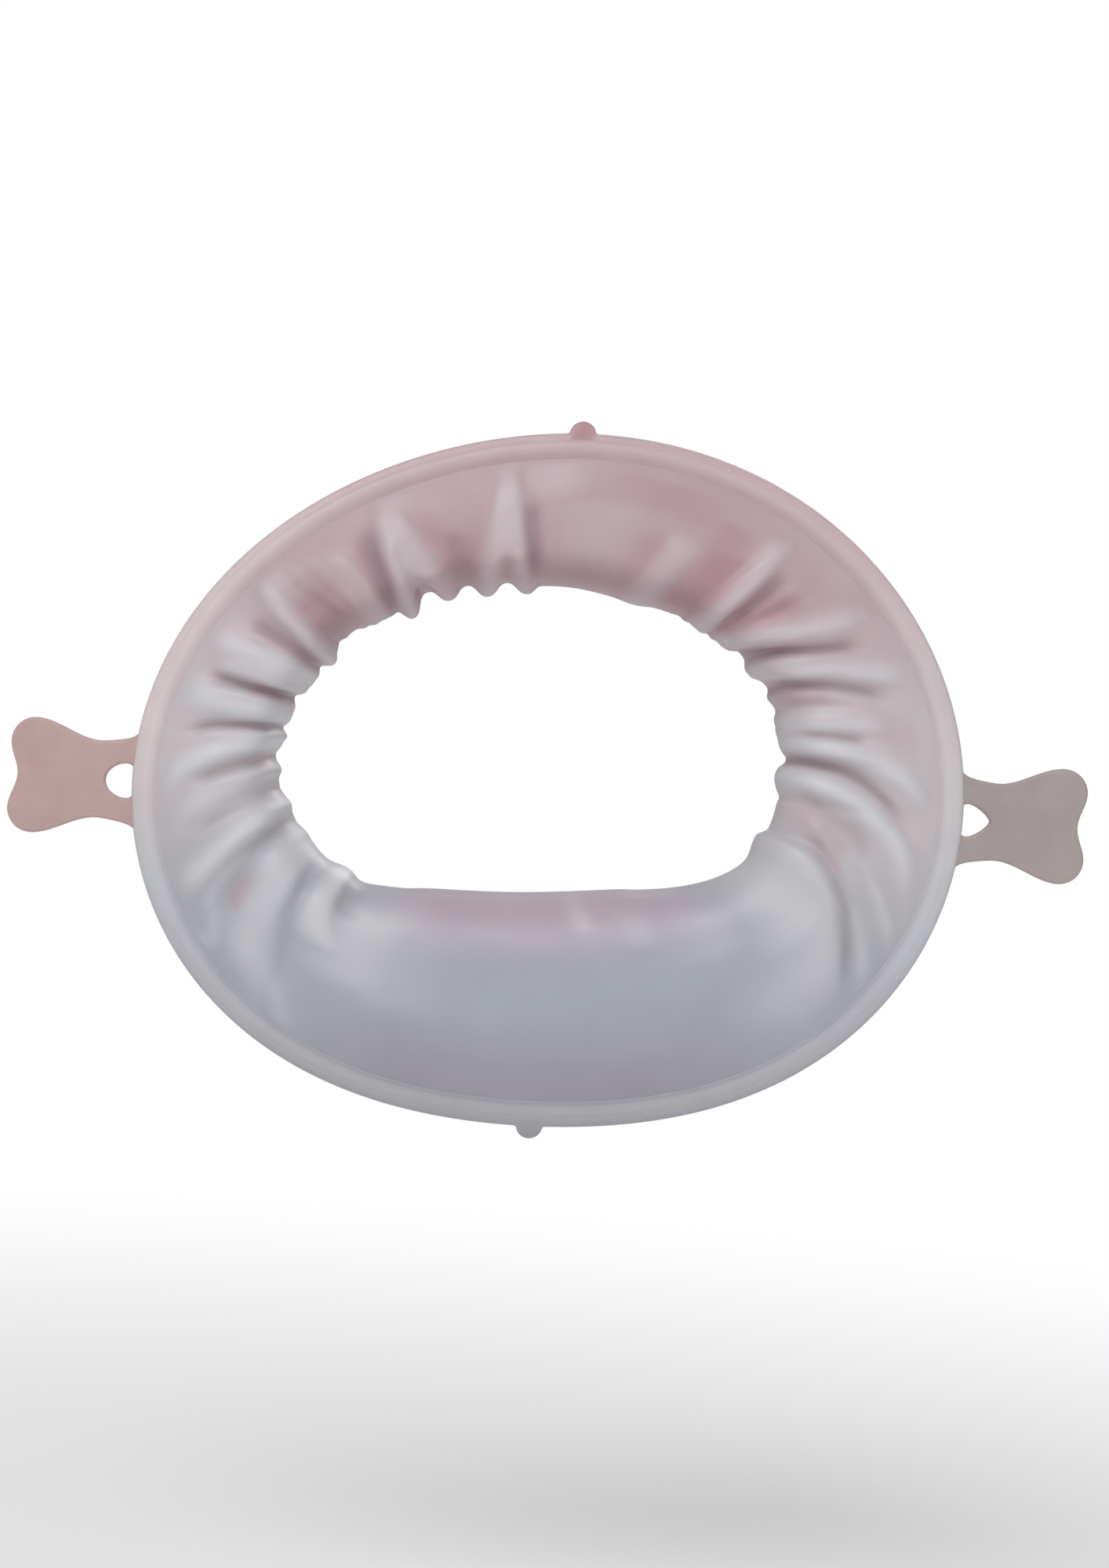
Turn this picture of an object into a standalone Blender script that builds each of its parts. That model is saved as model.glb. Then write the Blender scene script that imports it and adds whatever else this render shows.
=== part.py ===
"""Soft cheek retractor: an outer ring with two pull tabs and an inner ring, joined by a thin elastic
sleeve that wraps the lips. It stands as it is worn: +Z is up, +X is to the right as seen from the
front, and the front faces -Y. The origin is the centre of the mouth opening. Lengths are in metres.
"""

import math

import bmesh
import bpy

GAP = 0.0003  # clearance between neighbouring pieces
SHARP_ANGLE = math.radians(40)  # steeper edges between faces are shaded sharp

# Outer ring: its outer edge is an oval, turned a little and faintly egg-shaped.
RING_CENTRE = (0.0029, -0.0066, -0.0053)
RING_MEAN_R = 0.0472
RING_OVAL = 0.0043
RING_TURN = math.radians(5.4)
RING_EGG = 0.0007
RING_EGG_TURN = math.radians(-38)
RING_WIDTH = 0.0034
RING_BACK = 0.0010  # from the ring's mid plane to its flat back
RING_SEGMENTS = 72

# Section of the outer ring: (distance inside the edge, depth behind the mid plane).
RING_SECTION = (
    (0.00015, RING_BACK),
    (0.0, 0.0005),
    (0.0, -0.0003),
    (0.0003, -0.0007),
    (0.0011, -0.0008),
    (0.0015, -0.0014),
    (0.0023, -0.0014),
    (0.0027, -0.0008),
    (0.0033, -0.0005),
    (RING_WIDTH, 0.0002),
    (0.0032, RING_BACK),
)

# Locating nubs at the top and bottom of the outer ring.
NUB_R = 0.00165
NUB_THICK = 0.0014
NUB_OUT = 0.0015  # how far a nub stands out of the edge
NUB_CORNERS = 16
TOP_NUB_X = 0.0039
BOTTOM_NUB_X = 0.0030

# Pull tabs: two legs that join the ring, a neck and a bone-shaped end.
TAB_LENGTH = 0.0152
TAB_THICK = 0.0014
TAB_DEPTH = 0.0001  # tab's mid plane behind the ring's mid plane
LOBE_HALF = 0.00715
LOBE_R = 0.0030
NECK_HALF = 0.0048
NECK_AT = 0.0042
LEG_HALF = 0.0052  # half height over both legs where they meet the ring
NOTCH_DEEP = 0.0010
HOLE_LONG = 0.0033
HOLE_HALF = 0.0023
LEFT_TAB_Z = -0.0083
RIGHT_TAB_Z = -0.0062
LEFT_HOLE_POWER = 2.0  # 2 is a half ellipse
RIGHT_HOLE_POWER = 1.4  # nearer 1 is a triangle
SIDE_STEPS = 12  # points along one side of a tab
LOBE_STEPS = 6  # points round one lobe
NOTCH_STEPS = 4  # points from a lobe to the middle of the notch
HOLE_STEPS = 8  # points along half of the hole
LEG_STEPS = 6  # steps round the legs' half round ends

# Mouth opening at the narrowest place of the sleeve: an arch above, a squarer curve below.
WAIST_CENTRE = (0.0, 0.0, -0.0031)
WAIST_TURN = math.radians(3.9)
WAIST_HALF_WIDTH = 0.0311
WAIST_ARCH = (0.0218, 2.0)  # height above the widest line, and power of its curve
WAIST_SILL = (0.0155, 3.0)  # the same below it

# Inner ring, which lies behind the lips.
INNER_CENTRE = (0.0, 0.0145, -0.0010)
INNER_MEAN_R = 0.0345
INNER_OVAL = 0.0045
INNER_WIDTH = 0.0030
INNER_DEEP = 0.0026
INNER_CORNERS = 10

# Sleeve: its wall, its forward bulge over the lips, and its path from ring to ring.
FILM_THICK = 0.0003
FILM_SEGMENTS = 60
BULGE = 0.0030
LOWER_BULGE = 0.0008  # added over the lower lip
FRONT_EDGE_Y = -0.0064
BACK_EDGE_Y = 0.0143
# Path in front of the opening: (share of the way in, share of the way back, share of the bulge).
FRONT_PATH = (
    (0.0, 0.0, 0.0),
    (0.22, 0.0, 0.65),
    (0.50, 0.0, 1.0),
    (0.78, 0.0, 0.70),
    (0.95, 0.30, 0.12),
    (1.0, 1.0, 0.0),
)
# Path behind it: (share of the way out, share of the way back).
BACK_PATH = ((0.10, 0.27), (0.42, 0.62), (0.80, 0.90), (1.0, 1.0))
ROWS_PER_SPAN = 2
WAIST_ROWS = (7, 13)  # rows of the whole path where the waist band starts and ends


def material(name, colour, roughness):
    m = bpy.data.materials.new(name)
    m.use_nodes = True
    shader = m.node_tree.nodes["Principled BSDF"]
    shader.inputs["Base Color"].default_value = (*colour, 1.0)
    shader.inputs["Roughness"].default_value = roughness
    shader.inputs["Metallic"].default_value = 0.0
    return m


def new_object(name, bm, mat, origin=(0.0, 0.0, 0.0)):
    """Makes one object from bm, with its origin at origin and its faces pointing out."""
    bmesh.ops.recalc_face_normals(bm, faces=bm.faces)
    bmesh.ops.translate(bm, verts=bm.verts, vec=[-c for c in origin])
    mesh = bpy.data.meshes.new(name)
    bm.to_mesh(mesh)
    bm.free()
    mesh.materials.append(mat)
    mesh.shade_smooth()
    mesh.set_sharp_from_angle(angle=SHARP_ANGLE)
    ob = bpy.data.objects.new(name, mesh)
    ob.location = origin
    bpy.context.collection.objects.link(ob)
    return ob


def band(loops):
    """Joins closed loops of points, each to the next and the last to the first, into a ring."""
    bm = bmesh.new()
    rows = [[bm.verts.new(p) for p in loop] for loop in loops]
    count = len(rows[0])
    for k, row in enumerate(rows):
        after = rows[(k + 1) % len(rows)]
        for i in range(count):
            j = (i + 1) % count
            bm.faces.new((row[i], row[j], after[j], after[i]))
    return bm


def ring_radius(angle):
    oval = RING_OVAL * math.cos(2 * (angle - RING_TURN))
    return RING_MEAN_R + oval + RING_EGG * math.cos(3 * (angle - RING_EGG_TURN))


def waist_radius(angle):
    turned = angle - WAIST_TURN
    height, power = WAIST_ARCH if math.sin(turned) > 0 else WAIST_SILL
    across = abs(math.cos(turned)) / WAIST_HALF_WIDTH
    along = abs(math.sin(turned)) / height
    return (across**power + along**power) ** (-1 / power)


def inner_radius(angle):
    return INNER_MEAN_R + INNER_OVAL * math.cos(2 * angle)


def around(centre, radius, angle, inset, y):
    """The point on an oval at angle, moved in by inset, at depth y."""
    r = radius(angle) - inset
    return (centre[0] + r * math.cos(angle), y, centre[2] + r * math.sin(angle))


def angles(count):
    return [2 * math.pi * i / count for i in range(count)]


def ring_edge_x(z, side):
    """Where the outer ring's edge crosses height z, on side -1 or +1."""
    start = math.pi if side < 0 else 0.0
    steps = [start + math.radians(k / 4) for k in range(-160, 161)]
    points = [around(RING_CENTRE, ring_radius, a, 0.0, 0.0) for a in steps]
    return min(points, key=lambda p: abs(p[2] - z))[0]


def ring_edge_z(x, side):
    """Where the outer ring's edge crosses x, at its bottom (-1) or its top (+1)."""
    steps = [side * math.pi / 2 + math.radians(k / 4) for k in range(-60, 61)]
    points = [around(RING_CENTRE, ring_radius, a, 0.0, 0.0) for a in steps]
    return min(points, key=lambda p: abs(p[0] - x))[2]


def nub(name, x, side):
    """A short peg along Y whose round end stands out of the ring's edge."""
    bpy.ops.mesh.primitive_cylinder_add(
        vertices=NUB_CORNERS,
        radius=NUB_R,
        depth=NUB_THICK,
        location=(x, RING_CENTRE[1], ring_edge_z(x, side) + side * (NUB_OUT - NUB_R)),
        rotation=(math.pi / 2, 0.0, 0.0),
    )
    ob = bpy.context.object
    ob.name = name
    ob.hide_render = True
    ob.display_type = "WIRE"
    return ob


def outer_ring(mat):
    loops = [
        [
            around(RING_CENTRE, ring_radius, a, inset, RING_CENTRE[1] + depth)
            for a in angles(RING_SEGMENTS)
        ]
        for inset, depth in RING_SECTION
    ]
    ob = new_object("outer_ring", band(loops), mat)
    for name, x, side in (("top_nub", TOP_NUB_X, 1), ("bottom_nub", BOTTOM_NUB_X, -1)):
        union = ob.modifiers.new(name, "BOOLEAN")
        union.operation = "UNION"
        union.solver = "EXACT"
        union.object = nub(name, x, side)
    return ob


def smooth_step(t):
    t = min(max(t, 0.0), 1.0)
    return t * t * (3 - 2 * t)


def tab_outline(root, hole_power):
    """One tab as (distance out from the ring, height), anticlockwise from the lower leg's root.

    root is how far out the legs start. The hole between the legs is open towards the ring.
    """
    upper = [(root, LEG_HALF)]
    lobe_at = TAB_LENGTH - LOBE_R
    for k in range(1, SIDE_STEPS + 1):
        u = root + (lobe_at - root) * k / SIDE_STEPS
        flare = (LEG_HALF - NECK_HALF) * (1 - smooth_step(u / NECK_AT))
        rise = (LOBE_HALF - NECK_HALF) * smooth_step((u - NECK_AT) / (lobe_at - NECK_AT))
        upper.append((u, NECK_HALF + flare + rise))
    for k in range(1, LOBE_STEPS + 1):
        a = math.pi / 2 * (1 - k / LOBE_STEPS)
        upper.append((lobe_at + LOBE_R * math.cos(a), LOBE_HALF - LOBE_R + LOBE_R * math.sin(a)))
    lobe_end = LOBE_HALF - LOBE_R
    for k in range(1, NOTCH_STEPS):
        v = lobe_end * (1 - k / NOTCH_STEPS)
        dip = NOTCH_DEEP * (1 + math.cos(math.pi * v / lobe_end)) / 2
        upper.append((TAB_LENGTH - dip, v))
    middle = [(TAB_LENGTH - NOTCH_DEEP, 0.0)]
    lower = [(u, -v) for u, v in reversed(upper)]
    hole = []
    for k in range(HOLE_STEPS):
        share = math.sin(math.pi / 2 * k / HOLE_STEPS)
        u = root + (HOLE_LONG - root) * share
        hole.append((u, HOLE_HALF * (1 - share**hole_power) ** (1 / hole_power)))
    tip = [(HOLE_LONG, 0.0)]
    return upper + middle + lower + [(u, -v) for u, v in hole] + tip + hole[::-1]


def tab(name, side, height, hole_power, mat):
    """A pull tab. Its legs end in a half round about the joint's axis, so that they can turn."""
    half = TAB_THICK / 2
    low, high = height - LEG_HALF, height + LEG_HALF
    levels = [low + (high - low) * k / HOLE_STEPS for k in range(HOLE_STEPS + 1)]
    reach = max(side * ring_edge_x(z, side) for z in levels)
    edge = side * ring_edge_x(height, side)
    axis_out = reach - edge + GAP + half
    mid_y = RING_CENTRE[1] + TAB_DEPTH
    bm = bmesh.new()
    layers = []
    for k in range(LEG_STEPS + 1):
        turn = math.pi * (k / LEG_STEPS - 1 / 2)
        outline = tab_outline(axis_out - half * math.cos(turn), hole_power)
        y = mid_y + half * math.sin(turn)
        layers.append([bm.verts.new((side * (edge + u), y, height + v)) for u, v in outline])
    count = len(layers[0])
    for row, after in zip(layers, layers[1:]):
        for i in range(count):
            j = (i + 1) % count
            bm.faces.new((row[i], row[j], after[j], after[i]))
    bm.faces.new(layers[0])
    bm.faces.new(layers[-1][::-1])
    return new_object(name, bm, mat, (side * (edge + axis_out), mid_y, height))


def catmull_rom(points, steps):
    """Points on a smooth curve through points, steps to each span, with both ends included."""
    ends = [points[0]] + list(points) + [points[-1]]
    curve = []
    for k in range(len(points) - 1):
        p0, p1, p2, p3 = ends[k : k + 4]
        for i in range(steps):
            t = i / steps
            curve.append(
                tuple(
                    0.5
                    * (
                        2 * b
                        + (c - a) * t
                        + (2 * a - 5 * b + 4 * c - d) * t**2
                        + (3 * b - a - 3 * c + d) * t**3
                    )
                    for a, b, c, d in zip(p0, p1, p2, p3)
                )
            )
    return curve + [tuple(points[-1])]


def film_path(angle):
    """The sleeve's path at angle as (x, y, z), from the outer ring through the opening to the inner."""
    start = around(RING_CENTRE, ring_radius, angle, RING_WIDTH + GAP, FRONT_EDGE_Y)
    waist = around(WAIST_CENTRE, waist_radius, angle, 0.0, 0.0)
    end = around(INNER_CENTRE, inner_radius, angle, INNER_WIDTH + GAP, BACK_EDGE_Y)
    bulge = BULGE + LOWER_BULGE * max(0.0, -math.sin(angle))
    points = []
    for inward, back, out in FRONT_PATH:
        x, z = (start[k] + (waist[k] - start[k]) * inward for k in (0, 2))
        points.append((x, FRONT_EDGE_Y * (1 - back) - bulge * out, z))
    for outward, back in BACK_PATH:
        x, z = (waist[k] + (end[k] - waist[k]) * outward for k in (0, 2))
        points.append((x, BACK_EDGE_Y * back, z))
    return catmull_rom(points, ROWS_PER_SPAN)


def film(name, first, last, mat):
    """The sleeve's wall between two rows of its path."""
    paths = [film_path(a) for a in angles(FILM_SEGMENTS)]
    sides = ([], [])
    for row in range(first, last + 1):
        loops = ([], [])
        for path in paths:
            before, here, after = (path[min(max(row + k, 0), len(path) - 1)] for k in (-1, 0, 1))
            along = [b - a for a, b in zip(before, after)]
            length = math.hypot(*along)
            outward = math.hypot(here[0], here[2])
            run = (along[0] * here[0] + along[2] * here[2]) / outward
            across = (-along[1] * here[0] / outward, run, -along[1] * here[2] / outward)
            trim = 0.0
            if row == first and first > 0:
                trim = GAP / 2
            if row == last and last < len(path) - 1:
                trim = -GAP / 2
            for loop, offset in zip(loops, (-FILM_THICK / 2, FILM_THICK / 2)):
                moved = zip(here, along, across)
                loop.append([h + (a * trim + c * offset) / length for h, a, c in moved])
        for side, loop in zip(sides, loops):
            side.append(loop)
    return new_object(name, band(sides[0] + sides[1][::-1]), mat)


def inner_ring(mat):
    """A rounded bar bent to an oval."""
    loops = []
    for a in angles(INNER_CORNERS):
        inset = INNER_WIDTH / 2 * (1 - math.cos(a))
        y = INNER_CENTRE[1] + INNER_DEEP / 2 * math.sin(a)
        loops.append(
            [around(INNER_CENTRE, inner_radius, b, inset, y) for b in angles(FILM_SEGMENTS)]
        )
    return new_object("inner_ring", band(loops), mat)


def main():
    for ob in list(bpy.data.objects):
        bpy.data.objects.remove(ob, do_unlink=True)
    ring_mat = material("ring_elastomer", (0.56, 0.48, 0.49), 0.45)
    tab_mat = material("tab_elastomer", (0.46, 0.36, 0.35), 0.50)
    film_mat = material("film_elastomer", (0.53, 0.49, 0.52), 0.35)
    inner_mat = material("inner_elastomer", (0.56, 0.50, 0.51), 0.45)
    outer_ring(ring_mat)
    tab("left_tab", -1, LEFT_TAB_Z, LEFT_HOLE_POWER, tab_mat)
    tab("right_tab", 1, RIGHT_TAB_Z, RIGHT_HOLE_POWER, tab_mat)
    last_row = ROWS_PER_SPAN * (len(FRONT_PATH) + len(BACK_PATH) - 1)
    film("front_film", 0, WAIST_ROWS[0], film_mat)
    film("waist_film", *WAIST_ROWS, film_mat)
    film("back_film", WAIST_ROWS[1], last_row, film_mat)
    inner_ring(inner_mat)


main()
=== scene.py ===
"""Looks of the soft cheek retractor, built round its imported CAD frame. Lengths are in metres unless a
name ends in _MM; angles of folds are in degrees, anticlockwise from +X as seen from the front."""

import math

import bmesh
import bpy
import numpy as np
from mathutils import Matrix, Vector

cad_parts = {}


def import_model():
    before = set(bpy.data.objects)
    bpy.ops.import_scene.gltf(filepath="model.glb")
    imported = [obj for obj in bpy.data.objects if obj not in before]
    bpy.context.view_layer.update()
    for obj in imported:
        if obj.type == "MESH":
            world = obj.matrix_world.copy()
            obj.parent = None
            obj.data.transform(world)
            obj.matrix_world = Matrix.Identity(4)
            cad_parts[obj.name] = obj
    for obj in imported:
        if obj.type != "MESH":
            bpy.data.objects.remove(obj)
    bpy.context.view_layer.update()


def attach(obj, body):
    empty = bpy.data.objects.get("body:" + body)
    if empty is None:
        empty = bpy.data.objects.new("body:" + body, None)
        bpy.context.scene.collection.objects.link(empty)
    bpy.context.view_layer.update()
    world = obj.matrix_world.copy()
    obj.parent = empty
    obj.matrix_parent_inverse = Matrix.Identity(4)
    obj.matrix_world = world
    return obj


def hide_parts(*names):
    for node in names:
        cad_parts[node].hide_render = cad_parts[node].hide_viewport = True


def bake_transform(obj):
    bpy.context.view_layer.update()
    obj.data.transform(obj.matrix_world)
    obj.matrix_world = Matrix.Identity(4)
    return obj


MM = 0.001

# Outer ring, as in CAD: an oval, turned a little and faintly egg-shaped.
RING_CENTRE = (0.0029, -0.0066, -0.0053)
RING_MEAN_R = 0.0472
RING_OVAL = 0.0043
RING_TURN = math.radians(5.4)
RING_EGG = 0.0007
RING_EGG_TURN = math.radians(-38)
RING_STEPS = 720

# Section of the outer ring: (distance inside the edge, depth behind the mid plane), from the back
# of the edge round the front: the edge flange, one soft bead, a shallow groove and the inner lip.
RING_SECTION_MM = (
    (0.10, 0.98),
    (0.02, 0.80),
    (0.0, 0.45),
    (0.0, -0.15),
    (0.04, -0.42),
    (0.14, -0.68),
    (0.32, -0.86),
    (0.58, -0.97),
    (0.85, -1.03),
    (1.05, -1.06),
    (1.18, -1.05),
    (1.32, -1.10),
    (1.60, -1.18),
    (1.90, -1.21),
    (2.20, -1.18),
    (2.45, -1.11),
    (2.65, -1.04),
    (2.82, -1.00),
    (3.00, -0.99),
    (3.18, -0.97),
    (3.32, -0.84),
    (3.38, -0.50),
    (3.40, 0.20),
    (3.34, 0.75),
    (3.20, 0.98),
    (2.40, 1.0),
    (1.20, 1.0),
    (0.40, 1.0),
)
NUB_R = 0.00165
NUB_OUT = 0.0015
NUB_FILLET = 0.0005
NUBS = ((0.0039, 1), (0.0030, -1))  # (x, top or bottom)
NUB_REACH_MM = 1.0  # how far inside the edge the ring's section stretches into a nub
NUB_SPAN = 0.06  # half the angle over which the ring has finer steps for a nub
NUB_STEPS = 90
NUB_TINT_MM = 0.9  # how far inside the edge a nub's tint reaches
# Painted highlight along the ring's bead.
BEAD_HIGHLIGHT = (1.75, 0.7, 0.3)  # mm inside the edge, half width in mm, how strong
# Painted shade in the ring's groove: mm inside the edge, half width in mm, how strong.
GROOVE_SHADE = (2.9, 0.3, 0.6)

# Pull tabs, as in CAD.
TAB_LENGTH = 0.0152
TAB_THICK = 0.0014
TAB_Y = -0.0065
TAB_ROUND = 0.00042
LOBE_HALF = 0.00715
LOBE_R = 0.0030
NECK_HALF = 0.0048
NECK_AT = 0.0042
LEG_HALF = 0.0052
ROOT_FLARE = 0.0007  # the fillet between a leg and the ring
NOTCH_DEEP = 0.0010
HOLE_LONG = 0.0033
HOLE_HALF = 0.0023
HOLE_FLARE = 0.7  # the fillets at the hole's root, as a share of the outer ones
FLARE_FADE = 0.6 * MM  # how fast the fillets die away along a leg
HOLE_FLARE_FADE = 0.5 * MM
TAB_ROOT = -0.9 * MM  # the legs run this far into the ring
LEG_FOLLOW = 2.5 * MM  # how far out the legs still follow the ring's curve
TAB_SPAN = math.radians(25)  # half the angle of the ring's edge that is looked at for a tab
TAB_SPAN_STEPS = 401
TAB_SIDE_STEPS = 60
LOBE_STEPS = 16
HOLE_STEPS = 24
HOLE_TIP = 0.9  # share of the hole's length from which it is left without a fillet
TAB_EDGE_STEPS = 13  # layers over the tab's round edge, from back to front
STRIPS = 21  # cuts across a tab, near its root
STRIP = 0.25 * MM  # how far apart they are
# The left tab's colour is lighter with painted light and pinker from what shows through it; the right
# tab's is greyer and darker with painted shade.
TABS = (  # name, side, height, power of the hole's curve, body, colour
    ("left_pull_tab", -1, -0.0083, 2.0, "left_tab", (194, 167, 164)),
    ("right_pull_tab", 1, -0.0062, 1.4, "right_tab", (173, 162, 160)),
)

# Mouth opening, as in CAD, and how its edge departs from that curve: (angle, mm towards the middle).
EDGE_CURVE_STEPS = 12
WAIST_CENTRE = (0.0, 0.0, -0.0031)
WAIST_TURN = math.radians(3.9)
WAIST_HALF_WIDTH = 0.0311
WAIST_ARCH = (0.0218, 2.0)
WAIST_SILL = (0.0155, 3.0)
EDGE_MM = (
    (2, -0.6),
    (6, -1.1),
    (12, -1.2),
    (20, -1.6),
    (30, -1.8),
    (43, -1.7),
    (54, -1.3),
    (66, -0.9),
    (80, -1.1),
    (90, -1.0),
    (95, -0.8),
    (101, -1.0),
    (107, -0.8),
    (113, -1.2),
    (119, -1.0),
    (125, -1.3),
    (131, -0.9),
    (143, -1.2),
    (150, -1.2),
    (156, -0.7),
    (164, -0.6),
    (173, -0.8),
    (184, -0.8),
    (192, -0.1),
    (198, 0.6),
    (204, 0.1),
    (212, -0.3),
    (219, -1.1),
    (228, -0.9),
    (238, -0.4),
    (270, -0.5),
    (305, -0.4),
    (315, -0.8),
    (325, -1.4),
    (333, -1.8),
    (340, -1.9),
    (346, -0.7),
    (352, -0.5),
)

# Inner ring, as in CAD.
INNER_STEPS = 480
INNER_CORNERS = 28
INNER_FLAT = 0.06  # how much of its width the bar is short of round
INNER_CENTRE = (0.0, 0.0145, -0.0010)
INNER_MEAN_R = 0.0345
INNER_OVAL = 0.0045
INNER_WIDTH = 0.0030
INNER_DEEP = 0.0026
BACK_INSET = INNER_WIDTH - 0.5 * MM  # the film ends inside the bar

# Sleeve: its path from ring to ring, as in CAD.
FILM_WALL = 0.00022
FILM_REACH = 0.020  # about how far it is along the film from the ring to the opening
SEAM_STEP = 0.05
FILM_STEPS = 640
BULGE = 0.0020
LOWER_BULGE = 0.0009
FILM_INSET = 0.0031  # the film starts inside the ring's inner lip
FRONT_EDGE_Y = -0.0074
BACK_EDGE_Y = 0.0143
FRONT_PATH = (  # (share of the way in, share of the way back, share of the bulge)
    (0.0, 0.0, 0.0),
    (0.22, 0.0, 0.65),
    (0.50, 0.0, 1.0),
    (0.78, 0.0, 0.70),
    (0.95, 0.30, 0.12),
    (1.0, 1.0, 0.0),
)
BACK_PATH = ((0.10, 0.27), (0.42, 0.62), (0.80, 0.90), (1.0, 1.0))  # (way out, way back)
ROWS_PER_SPAN = 12
WAIST_ROW = ROWS_PER_SPAN * (len(FRONT_PATH) - 1)
DEPTH_ROW = WAIST_ROW + 4  # just behind the opening, where the front piece meets the middle one
SWING_ROW = WAIST_ROW + 20  # where the middle piece meets the rear one
LAST_ROW = ROWS_PER_SPAN * (len(FRONT_PATH) + len(BACK_PATH) - 1)
SLEEVES = (  # name, node, first and last row, bodies at its ends, depths where its blend starts and ends
    ("front_sleeve", "front_film", (0, DEPTH_ROW), ("outer", "waist"), (-0.0062, 0.0003)),
    ("mid_sleeve", "waist_film", (DEPTH_ROW, SWING_ROW), ("waist", "back"), (0.0016, 0.0066)),
    ("back_sleeve", "back_film", (SWING_ROW, LAST_ROW), ("back", "inner"), (0.0084, 0.0136)),
)

# How folds grow and fade. A pair is where it starts and over how much.
FOLD_STEPS = 8
FADE_PAST = 1.6  # spans behind the opening over which every fold dies away
LEAST_RISE = 0.05
RISE_AHEAD = 0.15  # how far it has risen already at its first point
TO_OPENING = 0.93  # a line that goes on past this share runs to the opening and does not fade
FADE_OUT = (0.14, 0.22)  # how far past its last point it ends, and over how much it fades
GROWTH = (0.45, 0.55)  # share of its height at the ring, and how much more at the opening
TIP_FADE = (0.78, 0.22)
RING_FADE = 0.12  # the film lies smooth on the ring's lip up to this share
CREASE_CLEARS = (3.0, 0.8)  # how much a crease clears the light off for its darkness, and at most


class Fold:
    """A ridge or a crease of the sleeve along a line of (share of the way in, angle).

    high is its height and plus and minus its half widths, on the sides of larger and of smaller
    angles, in mm. light says how much paler the bunched film is painted along a ridge, partly where
    it stands off what is behind it and partly as a painted highlight, or how much painted shade,
    with the pink that shows through, darkens a crease; tip says how much of its height is left at
    the opening. flat is 2 for a round back, and more for a flatter one with steeper sides. spread
    widens it at the ring and at the opening, and rise is the share of its length over which it
    starts."""

    def __init__(
        self,
        line,
        high,
        plus,
        minus=None,
        light=1.0,
        tip=0.45,
        flat=2.3,
        spread=(1.25, 1.0),
        rise=0.3,
    ):
        self.line = catmull_rom(line, FOLD_STEPS)
        self.high = high * MM
        self.plus = plus * MM
        self.minus = (minus if minus else plus) * MM
        self.light = light
        self.tip = tip
        self.flat = flat
        self.spread = spread
        self.rise = rise


def catmull_rom(points, steps):
    """Points on a smooth curve through points, steps to each span, with both ends included."""
    p = np.array(points, float)
    p = np.vstack([p[:1], p, p[-1:]])
    t = (np.arange(steps) / steps)[:, None]
    spans = [
        0.5
        * (
            2 * b
            + (c - a) * t
            + (2 * a - 5 * b + 4 * c - d) * t**2
            + (3 * b - a - 3 * c + d) * t**3
        )
        for a, b, c, d in zip(p, p[1:], p[2:], p[3:])
    ]
    return np.vstack(spans + [p[-1:]])


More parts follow.
